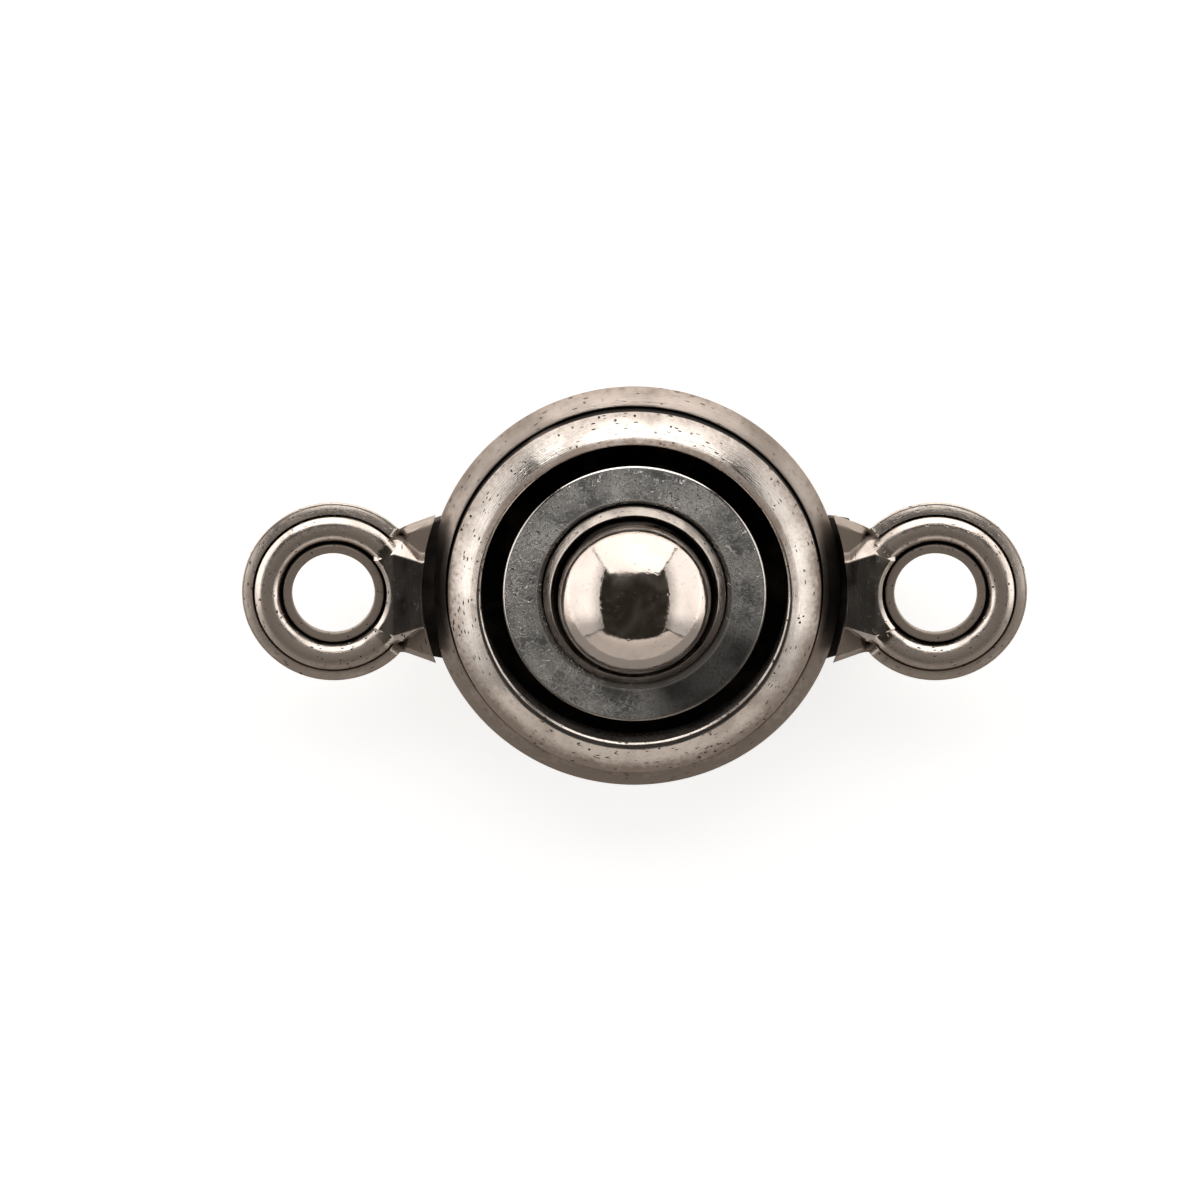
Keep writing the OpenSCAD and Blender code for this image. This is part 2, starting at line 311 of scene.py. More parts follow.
def straight_bar(outline, low, high, upright=True):
    """Corners and faces of a bar with the outline at its ends low and high, and a flat side over each of its edges.

    The outline is seen from above and the bar upright, or else the outline is seen from the side, as (x, z), and the
    bar lies along y. It runs counterclockwise from above and clockwise from the side."""
    outline = np.asarray(outline, float)
    count = len(outline)
    ring = np.arange(count)
    corners = np.vstack([np.column_stack([outline, np.full(count, end)]) for end in (low, high)])
    sides = np.column_stack([ring, np.roll(ring, -1), np.roll(ring, -1) + count, ring + count])
    faces = [ring[::-1].tolist(), (ring + count).tolist(), *sides.tolist()]
    return (corners if upright else corners[:, [0, 2, 1]]), faces


def bar_piece(name, bars, body):
    """One piece of antiqued pewter made of straight bars, whose edges a bevel modifier rounds. It is brown, and painted
    nearly black as shade, for its bars lie under the arm and beside the shell.
    """
    corners, faces, start = [], [], 0
    for bar_corners, bar_faces in bars:
        corners.append(bar_corners)
        faces += [[start + k for k in face] for face in bar_faces]
        start += len(bar_corners)
    corners = np.vstack(corners)
    layers = {"grain": corners, "patina_and_shade": np.full(len(corners), bar_patina),
              "tarnish": np.full(len(corners), bar_painted_shade)}
    piece = finished_piece(name, corners, faces, layers, satin_pewter, body)
    bevel = piece.modifiers.new("rounded_edges", "BEVEL")
    bevel.width = bar_edge * mm
    bevel.segments = 3
    bevel.harden_normals = True


def web_outline(hollow):
    """The web seen from above: an arc of radius hollow towards the body, and straight sides that draw in outwards.

    The arc ends where it meets the side: on its level part, or else on the line that leans in to the web's end."""
    turn, end = np.array([web_turn, web_half]), np.array(web_end)
    if hollow < np.hypot(*turn):
        lean = math.asin(web_half / hollow)
        corners = [turn * (1, -1), end * (1, -1), end, turn]
    else:
        across = np.array([turn[1] - end[1], end[0] - turn[0]]) / np.hypot(*(end - turn))
        lean = math.atan2(across[1], across[0]) - math.acos(across @ turn / hollow)
        corners = [end * (1, -1), end]
    return np.vstack([arc(0, 0, hollow, math.degrees(lean), -math.degrees(lean), 17), corners])


def foot_outline(hollow):
    """The web's foot seen from above: a thin rib as wide as the gussets, whose arc of radius hollow closes the slit."""
    return np.vstack([arc(0, 0, hollow, *rib_spread, 17), rib_back])


bar_piece("ball_strap", [
    straight_bar(riser_side, -bar_half, bar_half, upright=False),
    straight_bar(web_outline(arc_rim), web_low + web_sunk, web_top),
    straight_bar(foot_outline(rib_rim), *rib_heights),
], "ball_half")


# Ball half's arm and loop, cast in one with the riser. A half-round ring stands on a wider tier round the hole. The
# arm is a flat bar with sloping flanks, held by a thin gusset on each side, and all of it ends at an arc beside the
# body. Rubbing has left the crowns bright. The groove, crease, bore and underside are painted dark as shade, the arm's
# top is painted nearly black as a dark reflection, and the tier, brown with patina, and the dome's side towards -Y are
# browned towards -Y as painted shade.
loop_reach = 7.68
hole_rim = 1.05
hole_back = 1.32
rim_out = 1.29
loop_rim = 2.35
loop_low = 1.90
rim_top = 2.77
rim_corner = 0.01
bore_height = 0.20
groove_low = 2.40
dome_in = 1.36
dome_out = 2.025
dome = (1.70, 2.56, 0.37)
crease_out = 2.06
crease_low = 2.42
tier = (1.6548, 1.5593, 1.2433)
under = (1.5495, 2.7833, 0.8833, 25)
arm_top = 2.94
arm_lip = 1.47
arm_places = (1.1, 1.55, 2.25)
arm_halves = (0.90, 1.08, 0.86)
arm_back = 1.02
flank_width = 0.32
flank_end = 2.22
flank_run = 0.45
flank_fall = 1.25
side_fall = 5
back_fall = 10
lip_fall = 0.9
tier_sinks = (40, 5)
hollow_top = 2.20
gusset_top = 2.50
gusset_tip = (1.81, 1.48)
gusset_foot = (2.185, 0.824)
gusset_end = (2.545, 1.76)
gusset_side = (1.012, 0.3619)
gusset_low = 2.27
gusset_fall = 1.0
foot_fall = 6
edge_corner = 36.9
edge_tip = 44.1
edge_round = 0.05
web_inset = 0.25


def share_past(value, start, width):
    """0 up to start and 1 from start + width on, with an even rise between."""
    return np.clip((value - start) / width, 0, 1)


def share_short_of(value, end, width):
    """1 up to end - width and 0 from end on, with an even fall between."""
    return np.clip((end - value) / width, 0, 1)


def beyond_line(x, y, start, end):
    """Distance of (x, y) to the left of the straight line from start to end."""
    dx, dy = end[0] - start[0], end[1] - start[1]
    return (dx * (y - start[1]) - dy * (x - start[0])) / math.hypot(dx, dy)


def circle_top(x, circle):
    """Height of a circle (middle x, middle z, radius) over x, with the middle's height outside it."""
    return circle[1] + np.sqrt(np.maximum(circle[2] ** 2 - (x - circle[0]) ** 2, 0))


def arm_half(x):
    """Half the arm's width at x, by straight lines between its three measured places."""
    return np.interp(x, arm_places, arm_halves)


def loop_front(x, y):
    """Height of the loop and arm's front at (x, y), measured from the hole's middle with x towards the body.

    It is the highest of three forms: the turned ring (a half-round dome, then a crease and a tier, which sinks where
    the arm leaves), the arm (flat, bevelled at the lip round the hole, with flanks that slope down outside its half
    width), and the gusset (flat, with a sloping outer edge, and cut off steeply along the line from its tip to its
    foot). Each fall is how much a face drops for each millimetre past its edge."""
    rho, t = np.hypot(x, y), np.abs(y)
    lean = np.degrees(np.arctan2(t, x))
    tier_here = share_past(lean, *tier_sinks)
    step = np.where(rho < crease_out, crease_low, circle_top(rho, tier))
    ring = np.where(rho < dome_out, circle_top(rho, dome), hollow_top + (step - hollow_top) * tier_here)
    flank = flank_width * np.clip((flank_end - x) / flank_run, 0.1, 1)
    side = t - arm_half(x)
    arm = arm_top - flank_fall * np.clip(side, 0, flank) - side_fall * np.maximum(side - flank, 0)
    arm = arm - back_fall * np.maximum(arm_back - x, 0) - lip_fall * np.maximum(arm_lip - rho, 0)
    beyond_edge = beyond_line(x, t, gusset_tip, gusset_end)
    beyond_foot = beyond_line(x, t, gusset_foot, gusset_tip)
    gusset = gusset_top - gusset_fall * np.maximum(beyond_edge, 0) - foot_fall * np.maximum(beyond_foot, 0)
    return np.maximum(np.maximum(ring, arm), gusset)


def loop_and_arm():
    """The loop with its arm as a grid about the hole's middle, with x towards the body.

    Column j is the section in direction phi_j. Its rows go up the hole, out over the rim, down and up the groove,
    along the front to the outer edge, down and back under the loop. The outer edge lies at the loop's radius or,
    towards the body, at the nearer of the arc beside the body and the gusset's side. The underside is an arc under
    the loop and stepped under the gusset, a thin plate on a narrower web, and goes from one to the other with the
    share towards_body. The columns are closest between the corner, where the edge turns from the arc to the
    gusset's side, and the tip, where that side meets the loop. A blur along each section rounds its corners."""
    corner, tip = math.radians(edge_corner), math.radians(edge_tip)
    phi = np.concatenate([
        np.linspace(-math.pi, -tip, 120, False), np.linspace(-tip, -corner, 16, False),
        np.linspace(-corner, corner, 160, False), np.linspace(corner, tip, 16, False),
        np.linspace(tip, math.pi, 120, False)])[:, None]
    s, c = np.abs(np.sin(phi)), np.cos(phi)
    to_arc = loop_reach * c - np.sqrt(np.maximum(arc_rim ** 2 - (loop_reach * s) ** 2, 0))
    to_side = gusset_side[0] / np.maximum(s - gusset_side[1] * c, 1e-6)
    to_arc = np.where(to_arc > 0, to_arc, loop_reach)
    edge = np.where(np.abs(phi) < tip + 1e-9, np.minimum(to_arc, to_side), loop_rim)
    edge = np.maximum(edge, np.where(np.abs(phi) < tip, 0, loop_rim))
    towards_body = share_short_of(np.abs(phi), tip + 0.03, 0.08)
    round_r = edge_round * (1 - 0.4 * towards_body)

    def rows(radius, height):
        """The radius and the height of some rows, each given for every column or for all columns alike."""
        shape = (len(phi), max(np.shape(radius)[-1], np.shape(height)[-1]))
        return np.stack([np.broadcast_to(radius, shape), np.broadcast_to(height, shape)], -1)

    def steps(count):
        """Even steps that end at 1, without the 0 before the first."""
        return np.linspace(0, 1, count + 1)[None, 1:]

    up, quarter = np.linspace(0, 1, 9)[None], np.radians(90 * steps(6))
    inner = dome_in + (dome[0] - dome_in) * (1 - np.cos(np.radians(90 * np.linspace(0, 1, 18)[None])))
    outer = dome[0] + (edge - round_r - dome[0]) * steps(90)
    r_front = np.hstack([np.broadcast_to(inner, (len(phi), inner.shape[1])), outer])
    z_front = loop_front(r_front * c, r_front * np.sin(phi))
    z_edge = z_front[:, -1:]
    fall = np.radians(under[3] + (90 - under[3]) * steps(14))
    bowl = rows(under[0] + under[2] * np.cos(fall), under[1] - under[2] * np.sin(fall))
    drop, back = steps(3), steps(5)
    square = np.concatenate([
        rows(edge, (z_edge - round_r) * (1 - drop) + gusset_low * drop),
        rows(edge - web_inset * drop, np.full((1, 3), gusset_low)),
        rows(edge - web_inset, gusset_low + (loop_low - gusset_low) * drop),
        rows((edge - web_inset) * (1 - back) + under[0] * back, np.full((1, 5), loop_low))], axis=1)
    sections = np.concatenate([
        rows(hole_back + (hole_rim - hole_back) * up, loop_low + (rim_top - bore_height - loop_low) * up),
        rows(np.full((1, 5), hole_rim), rim_top - bore_height + (bore_height - rim_corner) * steps(5)),
        rows(hole_rim + rim_corner + (rim_out - hole_rim - 2 * rim_corner) * np.linspace(0, 1, 10)[None],
             np.full((1, 10), rim_top)),
        rows(np.full((1, 8), rim_out), rim_top - (rim_top - groove_low) * steps(8)),
        rows(rim_out + (dome_in - rim_out) * steps(6), np.full((1, 6), groove_low)),
        rows(np.full((1, 7), dome_in), groove_low + (z_front[:, :1] - groove_low) * steps(8)[:, :-1]),
        rows(r_front, z_front),
        rows(edge - round_r + round_r * np.sin(quarter), z_edge - round_r + round_r * np.cos(quarter)),
        bowl + (square - bowl) * towards_body[:, :, None],
        rows(under[0] + (hole_back - under[0]) * steps(4)[:, :-1], np.full((1, 3), loop_low)),
    ], axis=1)
    for _ in range(2):
        sections = 0.5 * sections + 0.25 * (np.roll(sections, 1, 1) + np.roll(sections, -1, 1))
    return phi, sections


grain_r = 1.8
grain_shift = 3
bare_loop_from = (44, 4)
arm_dark_reflection_from = (1.25, 0.3)
groove_shade = (1.27, 1.38)
groove_below = 2.76
crease_half = 0.014
bore_shade = 1.04
front_above = 2.3
flange_brown = 1.30
crown_brown = (1.68, 0.15)
gusset_brown_from = (1.9, 0.1)
gusset_heights = (2.2, 2.53)
lower_side_shade_from = (1.80, 0.05)


def placed_loop(name, middle_x, body, seed):
    """Sets the loop's sections about its hole's middle and turns them to face the body; the rows run clockwise, so
    the columns are taken in turn the other way, which keeps the faces outward. A blur round the loop softens the
    heights, and the grain is that of a turned piece, shifted so that the two loops don't wear the same marks.

    Each share from 0 to 1 says how much a point lies on one of the loop's surfaces, and tarnish and patina_and_shade
    are sums of them. The tarnish is painted shade in the groove, the crease, the bore and under the loop, and a painted
    dark reflection on the arm's top. patina_and_shade is patina, with painted shade that browns the tier and the dome
    downhill. Uphill goes from -1 at the loop's edge on the photo's lower side to 1 at that on its upper side."""
    phi, sections = loop_and_arm()
    phi, sections = phi[::-1], sections[::-1]
    way = -math.copysign(1, middle_x)
    rho, z = sections[..., 0], sections[..., 1]
    x, y = rho * np.cos(phi), rho * np.sin(phi)
    worn = np.stack([x, y, z], -1)
    for _ in range(2):
        worn[..., 2] = 0.5 * worn[..., 2] + 0.25 * (np.roll(worn[..., 2], 1, 0) + np.roll(worn[..., 2], -1, 0))
    grid = np.stack([middle_x + way * worn[..., 0], way * worn[..., 1], worn[..., 2]], -1)
    along = np.append(0, np.cumsum(np.linalg.norm(np.diff(grid, axis=1), axis=-1).mean(0)))
    grain = np.stack([grain_r * np.cos(phi) + grain_shift * way + 0 * rho, grain_r * np.sin(phi) + 0 * rho,
                      along + 0 * phi], -1)
    uphill = grid[..., 1] / loop_rim
    beside = share_past(np.abs(np.degrees(phi)), *bare_loop_from)
    on_top = share_past(arm_half(x) - np.abs(y), -0.02, 0.05)
    on_arm = (1 - beside) * share_past(x, *arm_dark_reflection_from) * on_top
    in_groove = share_short_of(rho, groove_shade[1], 0.03) * share_past(rho, groove_shade[0], 0.02) * (z < groove_below)
    in_crease = np.exp(-((rho - 0.5 * (dome_out + crease_out)) / crease_half) ** 2) * beside * (z > front_above)
    in_bore = share_short_of(rho, bore_shade, 0.02)
    under_it = share_short_of(z, front_above, 0.3)
    # Painted shade: darkened groove, crease (darker uphill), bore and underside; the arm's top is a painted dark
    # reflection.
    tarnish = 0.85 * on_arm + 0.95 * in_groove + (0.40 + 0.30 * uphill) * in_crease + 0.6 * in_bore + 0.4 * under_it
    on_tier = share_past(rho, dome_out, 0.04) * beside * (z > front_above)
    on_flange = share_short_of(rho, flange_brown, 0.02)
    at_its_height = (z > gusset_heights[0]) * (z < gusset_heights[1])
    on_gusset = (1 - beside) * (1 - on_top) * share_past(rho, *gusset_brown_from) * at_its_height
    on_crown = np.exp(-((rho - crown_brown[0]) / crown_brown[1]) ** 4) * beside
    on_lower_side = np.clip(-2 * uphill, 0, 1) * share_past(rho, *lower_side_shade_from) * beside * (rho < dome_out)
    # Patina on the tier, flange, crown, arm and gusset, with painted shade that browns the tier and the dome's lower
    # side.
    patina_and_shade = on_tier * (0.55 - 0.3 * uphill) + on_flange + 0.8 * on_crown + 0.2 * on_arm + 0.8 * on_gusset
    patina_and_shade = patina_and_shade + 0.9 * on_lower_side
    polished = hand_polished(grid, depth=0.006, most_waves=12, seed=seed)
    cast_piece(name, polished, body, loop_pewter, grain, tarnish, patina_and_shade)


loop_pewter = antiqued("loop_pewter", (0.74, 0.66, 0.60, 1), (0.40, 0.33, 0.275, 1), 0.14, pits=0.9, film=0.7)
placed_loop("ball_loop", loop_reach, "ball_half", 2)


# Ball: turned from the same pewter, riveted into the back plate by its neck, and buffed to a mirror. It is the one
# part that rubs bright each time the clasp snaps shut.
ball_r = 1.96
ball_z = 2.71
cap_middle = (0.4, 23.6)
cap_corner = (0.91, 48)
steepest = 1.55


def ball_and_neck():
    """Rows from the top pole down: the ball, the neck's straight side, and its flat tail, which closes at the pole.

    Buffing has left the ball's shoulder a little fuller than a sphere. Its slope is that of the sphere (arcsine of
    r / R) up to 0.4 R, then grows evenly to 48 degrees at 0.91 R and on to upright at R. The height is the running
    sum of the tangent of the slope, or of the steepest slope that is counted, in radians. Below the middle it is the
    sphere (R sin t, z + R cos t) down to the neck."""
    (middle, middle_slope), (corner, corner_slope) = cap_middle, cap_corner
    out = np.sin(np.linspace(0, math.pi / 2, 140)) ** 0.8
    past = share_past(out, corner, 1 - corner)
    slope = np.where(out < middle, np.arcsin(np.minimum(out, middle)),
                     np.radians(np.interp(out, [middle, corner], [middle_slope, corner_slope])))
    slope = np.where(out > corner, np.arcsin(math.sin(math.radians(corner_slope)) * (1 - past) + past), slope)
    tangent = np.tan(np.minimum(slope, steepest))
    fall = np.append(0, np.cumsum(np.diff(out) * 0.5 * (tangent[1:] + tangent[:-1])))
    cap = np.column_stack([ball_r * out, ball_z + ball_r * (1 - fall)])
    t = np.linspace(math.pi / 2, math.pi - math.asin(neck / ball_r), 50)
    lower = np.column_stack([ball_r * np.sin(t), ball_z + ball_r * np.cos(t)])
    side = np.column_stack([np.full(8, neck), np.linspace(lower[-1, 1], 0, 9)[1:]])
    return np.vstack([cap, lower, side, [[neck * 0.5, 0], [0, 0]]])


mirror_pewter = antiqued("mirror_pewter", (0.68, 0.60, 0.545, 1), (0.50, 0.42, 0.37, 1), 0.055, pits=0.12,
                         lines=0.04, clouds=0.35)
ball = cast_piece("ball", turned(ball_and_neck(), 320)[::-1], "ball_half", mirror_pewter, poles=True)
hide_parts("ball_stud")


# Shell: the cast bowl of the socket half, satin on its sloping shoulder. It is open in front, where the ring, disc
# and collar sit, and its floor is bored to turn on the back plate's boss.
shell_low = 0.66
floor_top = 1.26
floor_gap = 0.02
floor_bore = 2.02
channel = 4.1
ledge = 1.90
seat = 4.82
bowl = (3.039, 3.095, 2.472)
shoulder = (3.46, 0.0344, 2.72)
beside_drop = 0.10
beside_half = 1.35
shell_outline = worn_outline(np.vstack([
    [[floor_bore, shell_low]],
    arc(*bowl, -80, -25),
    arc(*shoulder, 48.2, 60),
    [[seat, ledge], [channel, ledge], [channel, floor_top], [floor_bore, floor_top]],
]), wear=0.03, count=120)
shell_grid = turned(shell_outline, 512)
shell_r = np.hypot(shell_grid[..., 0], shell_grid[..., 1])
beside_arm = np.exp(-(shell_grid[..., 1] / beside_half) ** 6) * share_past(shell_r - seat, 0.02, 0.12)
shell_grid[..., 2] -= beside_drop * beside_arm * (shell_grid[..., 2] > ledge + 0.05)
# Painted shade: the shell is darkened at the seat, under the ring's edge, and beside each arm.
shell_painted_shade = share_short_of(shell_r, seat + 0.01, 0.04) + 0.85 * beside_arm
shell_outer = share_past(shell_r - seat, 0.13, 0.3)
# Patina browns the outer flank; painted shade browns the shoulder more towards -Y.
shell_patina_and_shade = np.clip(0.40 - 0.45 * shell_grid[..., 1] / seat, 0.0, 0.9) + 0.6 * shell_outer
shell_polished = hand_polished(shell_grid, depth=0.006, most_waves=20, seed=3)
shell = cast_piece("shell", shell_polished, "socket_half", satin_pewter, turned_grain(shell_grid),
                   shell_painted_shade, shell_patina_and_shade)
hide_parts("socket_shell")


# Socket half's root, arm and loop, cast in one with the shell. The root is a stepped bar of pewter under the arm, with
# a web over it and a thin rib that closes the slit beside the shell. The loop is made like that of the ball half.
root_low = 1.21
root_top = 2.09
root_sunk = 0.02
mirrored = np.array([-1, 1])
root_start = 4.3
root_step = (5.0, 1.89)
root_rib_rim = 5.1
root_side = [[root_start, root_low], [root_start, root_step[1]], root_step, [root_step[0], root_top - root_sunk],
             [bar_end, root_top - root_sunk], [bar_end, root_low]]
bar_piece("socket_root", [
    straight_bar(root_side[::-1] * mirrored, -bar_half, bar_half, upright=False),
    straight_bar(web_outline(root_step[0])[::-1] * mirrored, web_low, root_top),
    straight_bar(web_outline(arc_rim)[::-1] * mirrored, root_top - 0.1, web_top),
    straight_bar(foot_outline(root_rib_rim)[::-1] * mirrored, root_step[1], root_top - root_sunk / 2),
], "socket_half")
placed_loop("socket_loop", -loop_reach, "socket_half", 5)


# Front ring: a domed ring pressed into the shell's seat, with a fine lip round its opening. It is polished, and
# casting has left fine pits and short dashes along it.
ring_rim = 4.77
lip = 3.92
lip_low = 2.832
lip_end = (3.985, 2.87)
top_edge = (4.01, 3.17)
ring_slopes = (29, 37)
ring_low = 1.92
bright_from = 4.20
brown_from = 4.33
dome_r = (ring_rim - top_edge[0]) / (math.sin(math.radians(ring_slopes[1])) - math.sin(math.radians(ring_slopes[0])))
dome_x = top_edge[0] - dome_r * math.sin(math.radians(ring_slopes[0]))
dome_z = top_edge[1] - dome_r * math.cos(math.radians(ring_slopes[0]))
ring_outline = worn_outline(np.vstack([
    [[lip, ring_low], [ring_rim, ring_low]],
    arc(dome_x, dome_z, dome_r, 90 - ring_slopes[1], 90 - ring_slopes[0]),
    [lip_end, [lip, lip_low]],
]), wear=0.014, count=150)
ring_grid = turned(ring_outline, 560)
ring_r = np.hypot(ring_grid[..., 0], ring_grid[..., 1])
ring_up = ring_grid[..., 1] / ring_rim
ring_side = share_past(ring_r - ring_rim, -0.012, 0.01)
over_lip = share_past(ring_grid[..., 2], lip_end[1], 0.03)
bevel_side = share_short_of(ring_r, top_edge[0] + 0.02, 0.03) * over_lip
ring_bore = share_short_of(ring_r, lip, 0.01)
# Painted shade: the ring is darkened in its bore, on its outer side wall (more towards +Y) and on its inner bevel.
ring_painted_shade = ring_bore + ring_side * np.clip(0.55 + 1.6 * ring_up, 0.1, 1) + 0.8 * bevel_side
ring_edge = share_short_of(ring_r, bright_from, 0.05) * share_past(ring_r - top_edge[0], -0.01, 0.01)
# Painted reflection: brown by the inner top edge, stronger towards +Y, stands for the dark top mirrored there. The
# outer brown is patina with painted shade, and the whole ring browns towards -Y as painted shade.
outer_patina_and_shade = share_past(ring_r, brown_from, 0.40) * (0.75 - 0.25 * ring_up)
inner_dark_reflection = 0.8 * ring_edge * np.clip(0.4 + ring_up, 0, 1)
ring_patina_and_shade = outer_patina_and_shade + inner_dark_reflection + 0.12 - 0.12 * ring_up
ring_pewter = antiqued("ring_pewter", (0.86, 0.79, 0.73, 1), (0.33, 0.26, 0.215, 1), 0.12, pits=0.95, clouds=0.35)
ring_polished = hand_polished(ring_grid, depth=0.008, most_waves=26, seed=4)
front_ring = cast_piece("ring", ring_polished, "socket_half", ring_pewter, turned_grain(ring_grid),
                        ring_painted_shade, ring_patina_and_shade)
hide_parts("front_ring")


# Disc: a thin pewter plate on a hub, which is set down in the shell, close over its floor. Its face is etched to a
# dull dark grey with curling brighter strokes, and only its edges are polished.
disc_rim = 3.37
disc_top = 2.83
disc_high = 2.93
disc_under = 2.41
hub = 2.95
recess = 2.48
hub_bore = 2.37
disc_bevel = (0.06, 0.035)
recess_bevel = (0.06, 0.18)
disc_outline = worn_outline(np.array([
    [hub_bore, floor_top + floor_gap], [hub, floor_top + floor_gap], [hub, disc_under], [disc_rim, disc_under],
    [disc_rim, disc_top - disc_bevel[1]], [disc_rim - disc_bevel[0], disc_top], [recess, disc_high],
    [recess, disc_high - recess_bevel[0]], [hub_bore, disc_high - recess_bevel[1]],
]), wear=0.008, count=120)
disc_grid = turned(disc_outline, 512)
disc_r = np.hypot(disc_grid[..., 0], disc_grid[..., 1])
disc_edge = share_past(disc_r - disc_rim, -0.07, 0.02) + 0.7 * share_short_of(disc_r, recess + 0.03, 0.02)


def etched(name):
    """Etched pewter: dull dark grey, with bright curling strokes where twisted noise passes through its middle value.

    The tarnish attribute marks the polished rims, which are bright and smooth, and patina_and_shade a dark patch and
    a painted shade that darkens one side."""
    material = bpy.data.materials.new(name)
    material.use_nodes = True
    tree = material.node_tree
    shader = tree.nodes["Principled BSDF"]
    grain = shader_node(tree, "Attribute", {}, attribute_name="grain").outputs["Vector"]
    edge = shader_node(tree, "Attribute", {}, attribute_name="tarnish").outputs["Fac"]

    def strokes(scale, width):
        """1 where twisted noise is within 0.3 width of its middle value, and 0 past the width."""
        made = shader_node(tree, "TexNoise", {"Vector": grain, "Scale": scale, "Detail": 2.0, "Distortion": 1.6})
        near = calculate(tree, "ABSOLUTE", calculate(tree, "SUBTRACT", made.outputs[0], 0.5))
        return rise(tree, near, width, width * 0.3)

    # The strokes fade in slow clouds, in the dark patch and in the painted shade.
    slow = shader_node(tree, "TexNoise", {"Vector": grain, "Scale": 1.1, "Detail": 3.0}).outputs[0]
    fine = shader_node(tree, "TexNoise", {"Vector": grain, "Scale": 14.0, "Detail": 3.0}).outputs[0]
    patch_and_shade = shader_node(tree, "Attribute", {}, attribute_name="patina_and_shade").outputs["Fac"]
    clear_face = calculate(tree, "SUBTRACT", 1.0, patch_and_shade, clamp=True)
    curls = calculate(tree, "MAXIMUM", strokes(2.6, 0.030), strokes(4.6, 0.040))
    curls = calculate(tree, "MULTIPLY", curls, rise(tree, slow, 0.32, 0.50))
    curls = calculate(tree, "MULTIPLY", curls, rise(tree, clear_face, 0.1, 1.0))
    # The colour: cloudy grey, a fine dark mottle, the dark patch with the painted shade, the strokes and the polished
    # rims, each over the last.
    colour = blend_colours(tree, rise(tree, slow, 0.35, 0.65), (0.24, 0.24, 0.235, 1), (0.80, 0.785, 0.76, 1))
    colour = blend_colours(tree, rise(tree, fine, 0.52, 0.80), colour, (0.14, 0.135, 0.13, 1))
    colour = blend_colours(tree, calculate(tree, "MULTIPLY", patch_and_shade, 0.85), colour, (0.045, 0.043, 0.04, 1))
    colour = blend_colours(tree, curls, colour, (0.97, 0.95, 0.92, 1))
    colour = blend_colours(tree, edge, colour, (0.86, 0.81, 0.76, 1))
    tree.links.new(colour, shader.inputs["Base Color"])
    # The strokes stand up from the face and are smoother than it, and the rims are the smoothest.
    rough = calculate(tree, "SUBTRACT", 0.44, calculate(tree, "MULTIPLY", edge, 0.28))
    rough = calculate(tree, "SUBTRACT", rough, calculate(tree, "MULTIPLY", curls, 0.20))
    tree.links.new(rough, shader.inputs["Roughness"])
    height = calculate(tree, "ADD", curls, calculate(tree, "MULTIPLY", fine, 0.4))
    height = calculate(tree, "MULTIPLY", height, calculate(tree, "SUBTRACT", 1.0, edge))
    bump = shader_node(tree, "Bump", {"Strength": 1.0, "Distance": 0.08 * mm, "Height": height})
    tree.links.new(bump.outputs[0], shader.inputs["Normal"])
    gleam = calculate(tree, "MAXIMUM", edge, 0.48)
    gleam = calculate(tree, "MAXIMUM", gleam, curls, clamp=True)
    tree.links.new(gleam, shader.inputs["Metallic"])
    return material


# The disc's patina_and_shade layer: a dark patch at -48 degrees, and painted shade that darkens the face evenly away
# from 110 degrees.
dark_patch_at = math.radians(-48)
dark_patch_spread = 0.62
lit_side_at = math.radians(110)
disc_angle = np.arctan2(disc_grid[..., 1], disc_grid[..., 0])
from_patch = np.angle(np.exp(1j * (disc_angle - dark_patch_at)))
disc_patch_and_shade = np.exp(-(from_patch / dark_patch_spread) ** 2) + 0.16 - 0.16 * np.cos(disc_angle - lit_side_at)
disc = cast_piece("disc", disc_grid, "socket_half", etched("etched_pewter"), disc_grid, disc_edge,
                  disc_patch_and_shade)
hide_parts("socket_disc")


# Collar: a springy sleeve in the disc's bore, with a sloping top that leads the ball in and a sloping outer edge.
# Its inner lip holds the ball below its middle.
collar_in = 1.995
collar_out = 2.33
collar_edge = 2.90
collar_top = (2.14, 3.10)
collar_throat = 2.80
collar_lip = 1.901
lip_z = 2.11
lip_half = 0.3
collar_outline = worn_outline(np.array([
    [collar_in, floor_top + floor_gap], [collar_out, floor_top + floor_gap], [collar_out, collar_edge], collar_top,
    [collar_in, collar_throat], [collar_in, lip_z + lip_half], [collar_lip, lip_z], [collar_in, lip_z - lip_half],
]), wear=0.010, count=90)
collar_grid = turned(collar_outline, 400)
collar_r = np.hypot(collar_grid[..., 0], collar_grid[..., 1])
# Painted shade: the collar is darkened down its outer wall in the disc's recess and in its throat.
in_recess = share_short_of(collar_grid[..., 2], collar_edge - 0.02, 0.06)
in_throat = share_short_of(collar_r, collar_top[0] - 0.02, 0.04)
collar_painted_shade = 0.8 * in_recess + 0.7 * in_throat
collar_pewter = antiqued("collar_pewter", (0.44, 0.39, 0.35, 1), (0.24, 0.19, 0.16, 1), 0.12, pits=0.6)
collar_polished = hand_polished(collar_grid, depth=0.003, most_waves=16, seed=6)
collar = cast_piece("collar", collar_polished, "socket_half", collar_pewter, turned_grain(collar_grid),
                    collar_painted_shade)
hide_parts("spring_collar")


# Table: a pale acrylic sheet, lit through from below, so that it stays white round the clasp. The metal mirrors it
# as a dimmer glow, which rises from the photo's lower side to its upper side and both its ends.
table_half = 1.5
table_glow = 0.72
mirrored_glow = (0.35, 1.5)
glow_rises = (-0.004, 0.012)
glow_aside = 0.6


